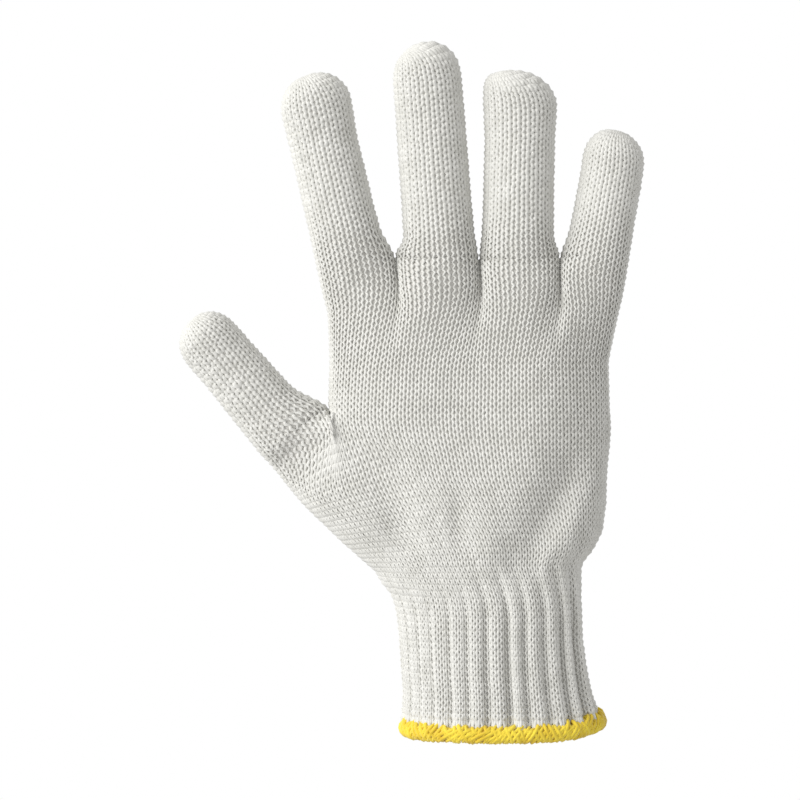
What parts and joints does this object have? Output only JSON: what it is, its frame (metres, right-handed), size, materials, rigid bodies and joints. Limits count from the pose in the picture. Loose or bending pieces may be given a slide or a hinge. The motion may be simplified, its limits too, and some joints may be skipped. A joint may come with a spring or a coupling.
{
  "type": "cotton work glove",
  "caption": "Seamless string-knit cotton work glove in its worn form, with a ribbed elastic cuff and a yellow overlocked edge.",
  "frame": {"origin": "the middle of the wrist opening, on the plane of the glove's lower edge", "axes": "+Z from the wrist to the fingertips, +X towards the little finger, -Y towards the palm side seen in the picture"},
  "size_m": [0.1606, 0.0484, 0.2395],
  "materials": {
    "cotton_knit": "off-white bulky cotton yarn in plain knit, matt",
    "elastic_rib": "the same yarn knitted with elastic and drawn into ribs, matt",
    "overlock_thread": "yellow bulked thread, overlocked, matt"
  },
  "bodies": {
    "root": {"little_finger": "cotton_knit", "ring_finger": "cotton_knit", "middle_finger": "cotton_knit", "index_finger": "cotton_knit", "thumb": "cotton_knit", "palm": "cotton_knit", "rib_cuff": "elastic_rib", "overlock_edge": "overlock_thread"}
  },
  "joints": []
}
